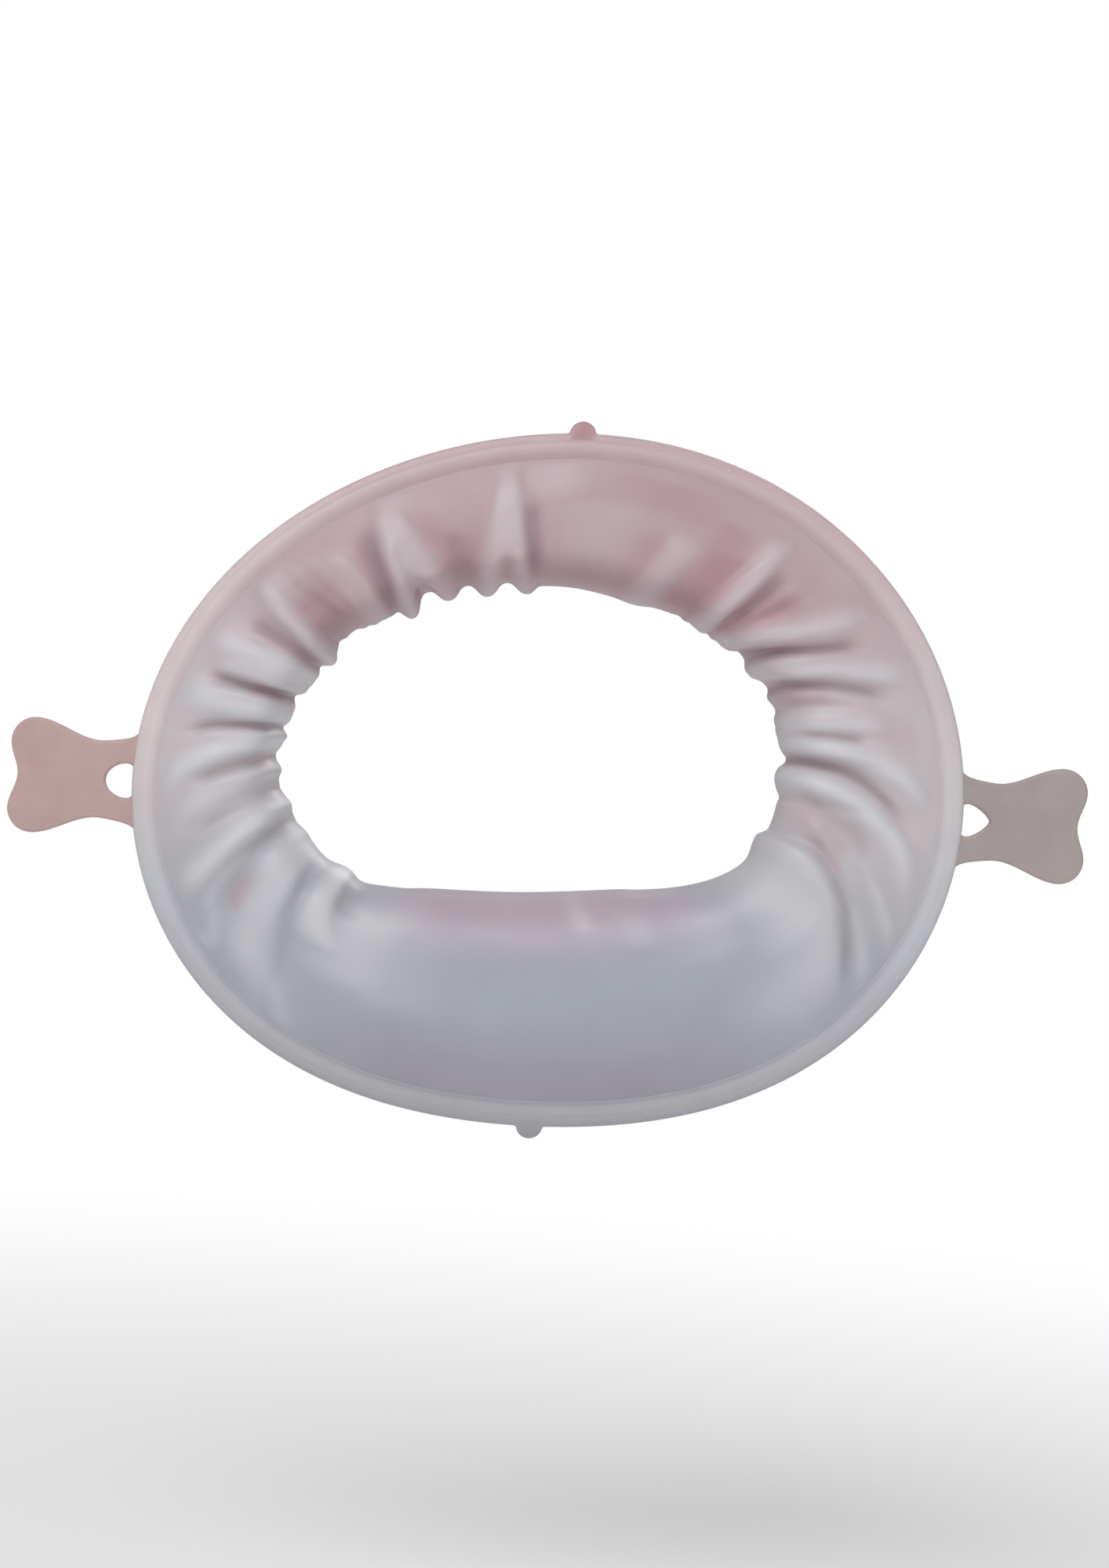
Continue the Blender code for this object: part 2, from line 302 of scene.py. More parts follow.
TENT = {"tip": 0.4, "flat": 4, "rise": 0.6}  # a strip pulled tight, wider towards the opening
RIDGES = (
    # over the upper lip, from the middle to the left
    Fold([(0.0, 101.3), (0.45, 101), (0.75, 100.7)], 1.1, 1.7, 1.7, 0.85, spread=(0.6, 1.8), **TENT),
    Fold([(0.72, 104), (1.0, 107.5)], 0.9, 1.1, 1.1, 0.6, 1.0),
    Fold([(0.72, 98), (1.0, 94.5)], 0.9, 1.1, 0.9, 0.6, 1.0),
    Fold([(0.0, 124.5), (0.4, 125.2), (0.8, 125.5)], 1.1, 1.7, 1.7, 0.85, spread=(0.8, 1.9), **TENT),
    Fold([(0.4, 127.5), (0.75, 129.3), (1.0, 131)], 1.1, 0.9, 1.0, 0.75, 1.3),
    Fold([(0.75, 122), (1.0, 119)], 0.8, 1.2, 1.1, 0.5, 0.9),
    Fold([(0.2, 138.5), (0.6, 137.6), (0.95, 138)], 0.8, 1.8, 1.6, 0.45),
    # round the left corner of the mouth
    Fold(
        [(0.0, 148), (0.15, 149.5), (0.45, 151.5), (0.75, 153.5), (1.0, 155.5)],
        1.6, 0.9, 1.4, 0.75, 0.6,
    ),
    Fold([(0.0, 160), (0.35, 161.3), (0.7, 162), (1.0, 162)], 1.2, 1.2, 1.6, 0.95),
    Fold([(0.2, 164.5), (0.6, 165), (1.0, 165.6)], 1.0, 0.6, 0.8, 0.6),
    Fold([(0.0, 169.5), (0.5, 171.3), (1.0, 172.5)], 1.4, 1.4, 1.6, 0.9),
    Fold([(0.0, 184.8), (0.25, 182), (0.5, 180.5), (0.75, 179), (1.0, 178)], 1.5, 1.2, 1.6, 1.0),
    Fold([(0.15, 190), (0.4, 188), (0.65, 186.5), (1.0, 185)], 1.0, 1.1, 1.4, 0.6),
    Fold([(0.02, 200), (0.3, 198.5), (0.6, 196), (0.88, 194), (1.0, 193.3)], 1.5, 1.2, 1.5, 0.95),
    Fold([(0.0, 220), (0.3, 212.5), (0.6, 208), (0.85, 204), (1.0, 202)], 1.3, 2.9, 2.5, 0.7, 0.5),
    Fold([(0.48, 227), (0.6, 220.3), (0.75, 216.6), (1.0, 214.2)], 1.05, 1.6, 2.0, 0.95, 0.5),
    Fold([(0.3, 157.5), (0.6, 158.2), (0.95, 159.3)], 0.45, 0.6, 0.7, 0.3),
    Fold([(0.25, 167.8), (0.55, 168.6), (0.95, 169.7)], 0.4, 0.5, 0.6, 0.3),
    Fold([(0.35, 176.3), (0.65, 176.2), (0.95, 176.3)], 0.4, 0.5, 0.7, 0.3),
    Fold([(0.3, 191.5), (0.55, 190.5), (0.9, 189.5)], 0.4, 0.6, 0.8, 0.3),
    Fold([(0.1, 205), (0.35, 202.3), (0.65, 199.8)], 0.4, 0.7, 0.8, 0.35),
    Fold([(0.25, 217), (0.5, 212), (0.8, 208.5)], 0.4, 0.8, 0.9, 0.3),
    # round the right corner
    Fold([(0.42, 61.5), (0.65, 60.6), (1.0, 61)], 0.8, 1.8, 1.6, 0.55),
    Fold([(0.08, 49), (0.3, 47.6), (0.5, 46), (0.75, 44.2), (1.0, 43)], 1.35, 1.3, 1.0, 0.9),
    Fold([(0.08, 32), (0.35, 31.3), (0.6, 32), (0.8, 33.8), (1.0, 36.5)], 1.4, 1.5, 1.1, 0.9),
    Fold([(0.0, 20.3), (0.4, 22), (0.7, 24), (1.0, 26.5)], 1.3, 1.6, 1.2, 0.9),
    Fold([(0.3, 12.2), (0.62, 12.9), (1.0, 13.3)], 0.9, 1.3, 1.3, 0.6),
    Fold([(0.0, 359.5), (0.15, 362), (0.35, 365), (0.65, 367.5), (1.0, 369)], 1.4, 1.5, 1.1, 0.9),
    Fold(
        [(0.0, 345), (0.2, 352), (0.4, 356), (0.6, 359.3), (0.8, 361), (1.0, 361.5)],
        1.6, 1.3, 1.5, 1.0,
    ),
    Fold([(0.35, 343), (0.55, 347.5), (0.8, 352)], 0.5, 1.2, 1.4, 0.3),
    Fold([(0.3, 29.6), (0.6, 29.6), (0.9, 31.6)], 0.4, 0.5, 0.6, 0.3),
    Fold([(0.3, 25.3), (0.6, 26.4), (0.95, 28.6)], 0.4, 0.5, 0.6, 0.3),
    Fold([(0.45, 17.6), (0.7, 18.8), (1.0, 19.8)], 0.4, 0.8, 0.8, 0.15),
    Fold([(0.25, 7.5), (0.5, 9.4), (0.75, 10)], 0.35, 0.6, 0.7, 0.3),
    # the edge of the smooth apron at the right, which drops away outwards
    Fold([(0.0, 324), (0.2, 330.5), (0.45, 340), (0.7, 345.5), (1.0, 346)], 2.0, 1.1, 5.0, 0.6, 0.5),
    # short tucks near the ring
    Fold([(0.0, 207.5), (0.1, 208.5), (0.22, 206)], 0.5, 1.1, 1.1, 0.4),
    Fold([(0.0, 226), (0.12, 222.5), (0.25, 219)], 0.4, 1.1, 1.1, 0.4),
    Fold([(0.0, 331), (0.15, 335), (0.35, 340)], 0.5, 0.8, 0.9, 0.45),
    Fold([(0.0, 338), (0.2, 343), (0.45, 349.5)], 0.5, 0.7, 0.8, 0.4),
)
# Creases; each one's light sets how much painted shade, with the pink that shows through the film,
# darkens it.
CREASES = (
    Fold([(0.3, 96.5), (0.6, 95), (0.92, 92.5)], 0.8, 0.9, light=0.6),
    Fold([(0.97, 101), (1.0, 101)], 0.6, 1.0, light=0.0, tip=1.0),
    Fold([(0.5, 114.5), (0.8, 113.5), (1.0, 113)], 0.7, 1.2, light=0.25, tip=0.8),
    Fold([(0.9, 125), (1.0, 124.5)], 1.0, 1.0, light=0.0, tip=1.0),
    Fold([(0.15, 129.3), (0.5, 131.3), (0.8, 133.3), (1.0, 135)], 0.7, 1.0, light=0.55),
    Fold([(0.3, 143.5), (0.6, 147), (1.0, 149.5)], 0.8, 2.0, light=0.15),
    Fold([(0.2, 155.3), (0.6, 156.4), (1.0, 158.5)], 0.7, 0.9, light=0.55),
    Fold([(0.15, 166), (0.45, 166.9), (1.0, 168)], 1.1, 0.7, light=0.6),
    Fold([(0.15, 176.3), (0.45, 174.9), (1.0, 175)], 1.1, 0.7, light=0.55),
    Fold([(0.3, 184.8), (0.55, 183.3), (1.0, 181.7)], 0.9, 0.9, light=0.25),
    Fold([(0.3, 193), (0.6, 190.5), (1.0, 189)], 0.6, 0.8, light=0.15),
    Fold([(0.2, 204.5), (0.45, 202.5), (0.7, 199.5), (0.95, 197)], 0.8, 1.1, light=0.15),
    Fold([(0.15, 222), (0.4, 217.5), (0.6, 213.5), (0.9, 209.5)], 0.7, 0.9, light=0.15),
    Fold([(0.74, 221.5), (0.84, 219.3), (0.92, 218.2), (1.0, 217.6)], 0.55, 1.8, 0.9, light=0.3),
    Fold([(0.3, 44), (0.6, 42), (0.85, 40.5)], 0.8, 0.9, light=0.45),
    Fold([(0.2, 26.8), (0.5, 27.7), (0.8, 29.6), (1.0, 31.5)], 1.1, 0.8, light=0.55),
    Fold([(0.2, 17.3), (0.45, 19.3), (0.65, 20.7), (1.0, 22.3)], 0.9, 0.9, light=0.5),
    Fold([(0.45, 9.8), (0.65, 10.4), (0.85, 10.9)], 0.5, 0.7, light=0.55),
    Fold([(0.15, 355.5), (0.35, 360), (0.6, 363.8), (0.85, 365), (1.0, 365.3)], 1.1, 0.9, light=0.65),
    Fold([(0.35, 349), (0.55, 353.5), (0.85, 356.5)], 0.5, 1.3, light=0.3),
    Fold([(0.05, 329), (0.2, 333.5), (0.35, 338), (0.5, 343), (0.75, 349)], 0.9, 1.1, light=0.3),
)
# Soft patches of colour along a line: (from, to, how strong, half width in mm). The film looks pink
# where it lies tight on what is behind it, and pale where it stands off it; some pale patches are
# painted highlights.
PINKS = (
    ((0.5, 113), (1.0, 112), 0.7, 2.4),
    ((0.25, 119), (0.6, 117), 0.35, 1.4),
    ((0.25, 131), (1.0, 135), 0.7, 1.2),
    ((0.42, 145), (1.0, 147.5), 0.75, 3.4),
    ((0.25, 155.3), (1.0, 157.5), 0.6, 0.9),
    ((0.6, 167.3), (1.0, 168), 0.5, 0.8),
    ((0.33, 206.5), (0.55, 204), 0.6, 1.0),
    ((0.08, 73), (0.3, 67), 0.5, 3.5),
    ((0.2, 57), (0.5, 54), 0.6, 2.0),
    ((0.35, 53), (1.0, 50), 1.0, 2.8),
    ((0.38, 40.5), (1.0, 40.0), 1.0, 2.8),
    ((0.45, 68.5), (1.0, 67), 0.6, 2.0),
    ((0.85, 80), (1.0, 80), 0.5, 6.0),
    ((0.55, 94), (1.0, 92.5), 0.6, 1.1),
    ((0.62, 18.5), (1.0, 19.5), 0.5, 1.2),
    ((0.5, 347), (0.85, 353.5), 0.45, 1.7),
    ((0.1, 10), (0.4, 12), 0.25, 2.5),
)
PALES_AND_HIGHLIGHTS = (
    # painted highlights beside the hooked fold near 220 degrees
    ((0.35, 230), (0.85, 226), 0.65, 4.5),
    ((0.55, 222), (0.8, 219), 0.4, 2.2),
    ((0.3, 238), (0.75, 236), 0.25, 5.0),
    ((0.4, 210), (0.95, 206), 0.3, 3.5),
    ((0.3, 82), (0.8, 79), 0.4, 4.5),
    ((0.0, 44), (0.12, 44), 0.3, 7.0),
    # a small painted highlight of something behind the film
    ((0.8, 291.5), (0.92, 291.5), 0.5, 1.5),
    ((0.7, 306), (0.85, 307), 0.25, 2.0),
    ((0.35, 333), (1.0, 341), 0.7, 4.5),
    ((0.5, 344), (0.85, 346.5), 0.5, 1.4),
    ((0.55, 320), (0.8, 324), 0.3, 3.5),
    ((0.02, 92), (0.3, 92), 0.45, 2.6),
    ((0.02, 123.5), (0.25, 124.3), 0.5, 1.4),
    ((0.05, 160.3), (0.25, 161), 0.35, 1.0),
    ((0.08, 32), (0.3, 31.8), 0.5, 1.2),
    ((0.02, 101.3), (0.3, 101.3), 0.5, 0.9),
)
LIP_PINK = (0.4, 0.4, 0.4)  # from which sine and over how much of it, and how strong at the opening
LIP_PINK_IN = (0.3, 0.6)  # from which share in, and over how much
APRON_MAUVE = (0.92, 0.20, 0.80)  # share in, half height and how strong
APRON = (216, 336, 24)  # from and to which angle the apron's tint lies, and over how much it fades
WARM = (0.15, 0.55)  # from which sine up the film is warmer, and over how much
COOL = (-0.02, 0.55)  # the same downwards
# Painted shade on the film's lowest part near the ring, where it faces down.
BOTTOM_SHADE = (0.62, 0.34)  # the same, for the film's darkest part at the bottom
BOTTOM_SHADE_OUT = (0.05, 0.45)  # from which share in it goes, and over how much
WRINKLED = ((128, 206), (-18, 58))  # from and to which angle the gathers carry fine wrinkles
WRINKLED_FADE = 14
WRINKLED_IN = 0.6  # the share in by which they are fully there
WRINKLE_LEAN = 1.5
WRINKLES = (  # (how many round, phase, height in mm)
    (53, 0.5, 0.10),
    (89, 2.1, 0.07),
    (131, 4.4, 0.04),
)

# Colours as 0 to 255 display values.
FILM_PLAIN = (200, 193, 197)
FILM_WARM = (186, 163, 168)
FILM_TONES = (  # (what brings it in, colour), each over those before it
    ("cool", (170, 177, 184)),
    # painted shade at the bottom near the ring
    ("bottom_shade", (162, 160, 168)),
    ("mauve", (188, 170, 182)),
    ("pink", (176, 142, 150)),
)
# Paler film along the ridges, partly where it stands off what is behind it and partly a painted
# highlight.
FILM_PALE_AND_HIGHLIGHT = ((208, 209, 214), (202, 192, 196))  # along the ridges, and along them where it is warm
# Painted shade in the creases, with the pink that shows through the film there.
FILM_CREASE_SHADE_AND_PINK = (146, 130, 138)
# The ring's colour is greyer and darker towards the bottom, the darkening a painted shade, and pinker
# towards the top.
RING_TONES_AND_SHADE = (  # (height, colour)
    (-0.045, (168, 168, 174)),
    (-0.020, (191, 193, 199)),
    (0.000, (206, 200, 202)),
    (0.030, (201, 178, 182)),
    (0.040, (196, 171, 176)),
)
# Lighter and pinker on the upper left of the ring: painted light from the left, with the pink of what is
# behind it.
RING_LIT_ROSY = (220, 203, 204)  # on the left, above the heights of LIT_ROSY_ABOVE
LIT_ROSY_ABOVE = (-0.02, 0.0)
LIT_ROSY_LEFT = (-0.02, -0.05, 0.7)  # from and to which x it grows, and how strong
# how much the painted highlight on the bead lightens
BEAD_HIGHLIGHT_SCREEN = (120, 120, 120)
# what the painted shade in the groove multiplies by
GROOVE_SHADE_TONE = (238, 230, 233)
NUB_TONES = ((244, 242, 242), (238, 214, 217))  # of the lower nub and the upper one
INNER_TONES = ((176, 176, 182), (196, 184, 188))  # at the bottom and at the top
CLOUD_TONE = (0.8, 0.78, 0.8, 1)  # what the soft clouds multiply a colour by
NOISE_BAND = (0.3, 0.7)  # the part of a noise's range that is used
SPECULAR = 0.4
SCATTER = (1.0, 0.65, 0.6)  # how far red, green and blue scatter inside, as shares of SCATTER_REACH
SCATTER_REACH = 0.8 * MM
GRAIN_SCALE = 2600
GRAIN_DEPTH = 0.05 * MM
SHEEN_SCALE = 260

FLOOR_Z = -0.11
FLOOR_R = 6.0
FLOOR_TONE = (0.93, 0.93, 0.93, 1)
FLOOR_ROUGHNESS = 0.9
FLOOR_SPECULAR = 0.1
WHITE = (1, 1, 1, 1)
FLOOR_FADE = (0.05, 0.40)  # how far from the object the floor starts and ends its fade into white
AMBIENT = 0.42
LAMPS = (  # (name, place, size, watts)
    ("key", (-0.25, -0.55, 0.60), 0.7, 3.4),
    ("fill", (0.55, -0.75, 0.15), 0.7, 1.2),
    ("back", (0.3, 0.7, 0.5), 0.6, 2.0),
)
LAMPS_AT = (0.0, 0.0, -0.005)
CAMERA_AT = (0.0033, -0.00515)  # x and z
CAMERA_AWAY = 0.400  # from the ring's middle plane
SEEN_HEIGHT = 0.1942  # at that distance
CAMERA_LEAN = math.radians(3.85)
SENSOR = 36.0

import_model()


def ring_radius(angle):
    oval = RING_OVAL * np.cos(2 * (angle - RING_TURN))
    return RING_MEAN_R + oval + RING_EGG * np.cos(3 * (angle - RING_EGG_TURN))


def waist_radius(angle):
    turned = angle - WAIST_TURN
    above = np.sin(turned) > 0
    height = np.where(above, WAIST_ARCH[0], WAIST_SILL[0])
    power = np.where(above, WAIST_ARCH[1], WAIST_SILL[1])
    across = np.abs(np.cos(turned)) / WAIST_HALF_WIDTH
    along = np.abs(np.sin(turned)) / height
    loop = np.array([(a - 360, mm) for a, mm in EDGE_MM[-2:]] + list(EDGE_MM))
    loop = np.vstack([loop, [(a + 360, mm) for a, mm in EDGE_MM[:2]]])
    curve = catmull_rom(loop, EDGE_CURVE_STEPS)
    edge = np.interp(np.degrees(angle) % 360, curve[:, 0], curve[:, 1]) * MM
    return (across**power + along**power) ** (-1 / power) - edge


def inner_radius(angle):
    return INNER_MEAN_R + INNER_OVAL * np.cos(2 * angle)


def around(centre, radius, angle, inset, y):
    """Points on an oval at angle, moved in by inset, at depth y."""
    r = radius(angle) - inset
    y = np.broadcast_to(y, np.shape(r))
    return np.stack([centre[0] + r * np.cos(angle), y, centre[2] + r * np.sin(angle)], -1)


def smooth(t):
    t = np.clip(t, 0.0, 1.0)
    return t * t * (3 - 2 * t)


def grow(value, start, span):
    """0 up to start, and from there smoothly up to 1 over span."""
    return smooth((value - start) / span)


def hump(value, middle, half_width):
    return np.exp(-(((value - middle) / half_width) ** 2))


def mesh_object(name, points, faces, mat):
    mesh = bpy.data.meshes.new(name)
    mesh.from_pydata([tuple(p) for p in points], [], faces)
    mesh.update()
    mesh.materials.append(mat)
    mesh.shade_smooth()
    ob = bpy.data.objects.new(name, mesh)
    bpy.context.collection.objects.link(ob)
    return ob


def band_faces(rows, count, wrap):
    """Faces between rows of count points; with wrap, the last row joins the first too."""
    faces = []
    for k in range(rows if wrap else rows - 1):
        a, b = k * count, (k + 1) % rows * count
        for i in range(count):
            j = (i + 1) % count
            faces.append((a + i, a + j, b + j, b + i))
    return faces


def fix_normals(ob):
    bm = bmesh.new()
    bm.from_mesh(ob.data)
    bmesh.ops.recalc_face_normals(bm, faces=bm.faces)
    bm.to_mesh(ob.data)
    bm.free()
    return ob


def store(ob, name, values):
    """Keeps one number for each point of ob, for its material."""
    attribute = ob.data.attributes.new(name, "FLOAT", "POINT")
    attribute.data.foreach_set("value", np.asarray(values, np.float32).ravel())


# ---- materials ----


def srgb(r, g, b):
    """A colour given as 0 to 255 display values, as the linear one that shaders take."""
    linear = [c / 255 / 12.92 if c <= 10 else ((c / 255 + 0.055) / 1.055) ** 2.4 for c in (r, g, b)]
    return (*linear, 1.0)


class Nodes:
    """A material's node tree, with short calls for the nodes that the elastomers share."""

    def __init__(self, name, roughness, subsurface):
        self.material = bpy.data.materials.new(name)
        self.material.use_nodes = True
        self.tree = self.material.node_tree
        self.shader = self.tree.nodes["Principled BSDF"]
        self.shader.inputs["Roughness"].default_value = roughness
        self.shader.inputs["Specular IOR Level"].default_value = SPECULAR
        self.shader.inputs["Subsurface Weight"].default_value = subsurface
        self.shader.inputs["Subsurface Radius"].default_value = SCATTER
        self.shader.inputs["Subsurface Scale"].default_value = SCATTER_REACH

    def new(self, kind, **settings):
        node = self.tree.nodes.new(kind)
        for key, value in settings.items():
            setattr(node, key, value)
        return node

    def link(self, source, target):
        self.tree.links.new(source, target)

    def attribute(self, name):
        return self.new("ShaderNodeAttribute", attribute_name=name).outputs["Fac"]

    def mix(self, share, first, second, mode="MIX"):
        """first towards second by share; each is a socket or a colour."""
        node = self.new("ShaderNodeMix", data_type="RGBA", blend_type=mode)
        for socket, value in ((0, share), (6, first), (7, second)):
            if isinstance(value, bpy.types.NodeSocket):
                self.link(value, node.inputs[socket])
            else:
                node.inputs[socket].default_value = value
        return node.outputs[2]

    def noise(self, scale, detail):
        node = self.new("ShaderNodeTexNoise")
        node.inputs["Scale"].default_value = scale
        node.inputs["Detail"].default_value = detail
        self.link(self.new("ShaderNodeTexCoord").outputs["Object"], node.inputs["Vector"])
        return node.outputs["Fac"]

    def range(self, source, low, high, to_low, to_high):
        node = self.new("ShaderNodeMapRange")
        node.inputs["From Min"].default_value = low
        node.inputs["From Max"].default_value = high
        node.inputs["To Min"].default_value = to_low
        node.inputs["To Max"].default_value = to_high
        self.link(source, node.inputs["Value"])
        return node.outputs["Result"]

    def finish(self, colour, rough_low, rough_high, bump):
        """Joins colour, a fine satin grain and its roughness to the shader."""
        self.link(colour, self.shader.inputs["Base Color"])
        fine = self.noise(GRAIN_SCALE, 3.0)
        cloud = self.noise(SHEEN_SCALE, 2.0)
        rough = self.range(cloud, *NOISE_BAND, rough_low, rough_high)
        self.link(rough, self.shader.inputs["Roughness"])
        node = self.new("ShaderNodeBump")
        node.inputs["Strength"].default_value = bump
        node.inputs["Distance"].default_value = GRAIN_DEPTH
        self.link(fine, node.inputs["Height"])
        self.link(node.outputs["Normal"], self.shader.inputs["Normal"])
        return self.material

    def position(self):
        """The x, y and z sockets of the point in the object's own space."""
        split = self.new("ShaderNodeSeparateXYZ")
        self.link(self.new("ShaderNodeTexCoord").outputs["Object"], split.inputs[0])
        return split.outputs


def by_height(nodes, low, high, tones):
    """The first of two tones below height low, and the second above height high."""
    share = nodes.range(nodes.position()["Z"], low, high, 0.0, 1.0)
    return nodes.mix(share, srgb(*tones[0]), srgb(*tones[1]))


def mottled(nodes, colour, scale, amount):
    """colour, darkened a little in soft clouds."""
    share = nodes.range(nodes.noise(scale, 3.0), *NOISE_BAND, 0.0, amount)
    return nodes.mix(share, colour, nodes.mix(1.0, colour, CLOUD_TONE, "MULTIPLY"))


def film_material():
    nodes = Nodes("sleeve_film", roughness=0.4, subsurface=0.25)
    warm = nodes.attribute("warm")
    colour = nodes.mix(warm, srgb(*FILM_PLAIN), srgb(*FILM_WARM))
    for name, tone in FILM_TONES:
        colour = nodes.mix(nodes.attribute(name), colour, srgb(*tone))
    # paler along the ridges, partly a painted highlight
    crest = nodes.mix(warm, srgb(*FILM_PALE_AND_HIGHLIGHT[0]), srgb(*FILM_PALE_AND_HIGHLIGHT[1]))
    colour = nodes.mix(nodes.attribute("light"), colour, crest)
    # painted shade along the creases, with the pink that shows through
    colour = nodes.mix(nodes.attribute("crease_shade_and_pink"), colour, srgb(*FILM_CREASE_SHADE_AND_PINK))
    colour = mottled(nodes, colour, scale=55, amount=0.2)
    colour = mottled(nodes, colour, scale=170, amount=0.22)
    return nodes.finish(colour, rough_low=0.34, rough_high=0.48, bump=0.12)


def ring_tones(nodes, height):
    """The ring's colour by height, darker towards the bottom with painted shade."""
    ramp = nodes.new("ShaderNodeValToRGB")
    low, high = RING_TONES_AND_SHADE[0][0], RING_TONES_AND_SHADE[-1][0]
    stops = ramp.color_ramp.elements
    while len(stops) < len(RING_TONES_AND_SHADE):
        stops.new(0.5)
    for stop, (level, _) in zip(stops, RING_TONES_AND_SHADE):
        stop.position = (level - low) / (high - low)
    for stop, (_, tone) in zip(stops, RING_TONES_AND_SHADE):
        stop.color = srgb(*tone)
    nodes.link(nodes.range(height, low, high, 0.0, 1.0), ramp.inputs["Fac"])
    return ramp.outputs["Color"]


def ring_material():
    nodes = Nodes("ring_elastomer", roughness=0.4, subsurface=0.2)
    place = nodes.position()
    base = ring_tones(nodes, place["Z"])
    # painted light on the upper left, with a pink tint
    higher = nodes.range(place["Z"], *LIT_ROSY_ABOVE, 0.0, 1.0)
    lit_rosy = nodes.mix(higher, base, srgb(*RING_LIT_ROSY))
    first_x, last_x, strong = LIT_ROSY_LEFT
    left = nodes.range(place["X"], first_x, last_x, 0.0, strong)
    colour = nodes.mix(left, base, lit_rosy)
    # painted highlight along the bead
    highlighted = nodes.mix(1.0, colour, srgb(*BEAD_HIGHLIGHT_SCREEN), "SCREEN")
    colour = nodes.mix(nodes.attribute("bead_highlight"), colour, highlighted)
    # painted shade in the groove
    groove_shaded = nodes.mix(1.0, colour, srgb(*GROOVE_SHADE_TONE), "MULTIPLY")
    colour = nodes.mix(nodes.attribute("groove_shade"), colour, groove_shaded)
    nub = by_height(nodes, low=-0.02, high=0.02, tones=NUB_TONES)
    colour = nodes.mix(nodes.attribute("nub"), colour, nodes.mix(1.0, colour, nub, "MULTIPLY"))
    colour = mottled(nodes, colour, scale=220, amount=0.25)
    return nodes.finish(colour, rough_low=0.34, rough_high=0.48, bump=0.10)


def tab_material(name, colour):
    nodes = Nodes(name, roughness=0.45, subsurface=0.2)
    tone = mottled(nodes, colour, scale=110, amount=0.35)
    tone = mottled(nodes, tone, scale=320, amount=0.3)
    return nodes.finish(tone, rough_low=0.38, rough_high=0.52, bump=0.14)


def inner_material():
    nodes = Nodes("inner_elastomer", roughness=0.42, subsurface=0.2)
    colour = by_height(nodes, low=-0.025, high=0.025, tones=INNER_TONES)
    colour = mottled(nodes, colour, scale=220, amount=0.3)
    return nodes.finish(colour, rough_low=0.36, rough_high=0.5, bump=0.12)


# ---- outer ring ----


def nub_height(x, angle):
    """How far the edge stands out at each angle, for a round nub at x with a fillet at its foot."""
    off = np.abs(ring_radius(angle) * np.cos(angle) + RING_CENTRE[0] - x)
    lift = NUB_R - NUB_OUT
    dome = np.sqrt(np.maximum(NUB_R**2 - off**2, 0.0)) - lift
    foot = math.sqrt(NUB_R**2 - lift**2)
    past = np.clip((foot + NUB_FILLET - off) / (2 * NUB_FILLET), 0.0, 1.0)
    return np.maximum(dome, NUB_FILLET * past**2)


def ring_angles():
    """Even steps round the ring, with finer ones across the nubs."""
    even = np.linspace(0, 2 * np.pi, RING_STEPS, endpoint=False)
    fine = [even]
    for x, side in NUBS:
        centre = side * math.pi / 2 - side * (x - RING_CENTRE[0]) / RING_MEAN_R
        fine.append((centre + np.linspace(-NUB_SPAN, NUB_SPAN, NUB_STEPS)) % (2 * np.pi))
    return np.unique(np.round(np.concatenate(fine), 4))


def outer_ring():
    angle = ring_angles()
    section = np.array(RING_SECTION_MM) * MM
    bumps = np.zeros(len(angle))
    for x, side in NUBS:
        bumps += np.where(side * np.sin(angle) > 0.5, nub_height(x, angle), 0.0)
    rows = []
    for inset, depth in section:
        stretch = 1 - smooth(inset / (NUB_REACH_MM * MM))
        moved = inset - bumps * stretch
        rows.append(around(RING_CENTRE, ring_radius, angle, moved, RING_CENTRE[1] + depth))
    faces = band_faces(len(rows), len(angle), True)
    ob = fix_normals(mesh_object("ring_body", np.vstack(rows), faces, ring_material()))
    inset = np.repeat(section[:, 0], len(angle)) / MM
    front = np.repeat(section[:, 1] < 0, len(angle))
    for key, (at, half, strong) in (("bead_highlight", BEAD_HIGHLIGHT), ("groove_shade", GROOVE_SHADE)):
        store(ob, key, strong * hump(inset, at, half) * front)
    on_nub = np.tile(np.clip(bumps / NUB_OUT, 0, 1), len(section))
    store(ob, "nub", on_nub * (inset < NUB_TINT_MM))
    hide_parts("outer_ring")
    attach(ob, "outer")


# ---- pull tabs ----


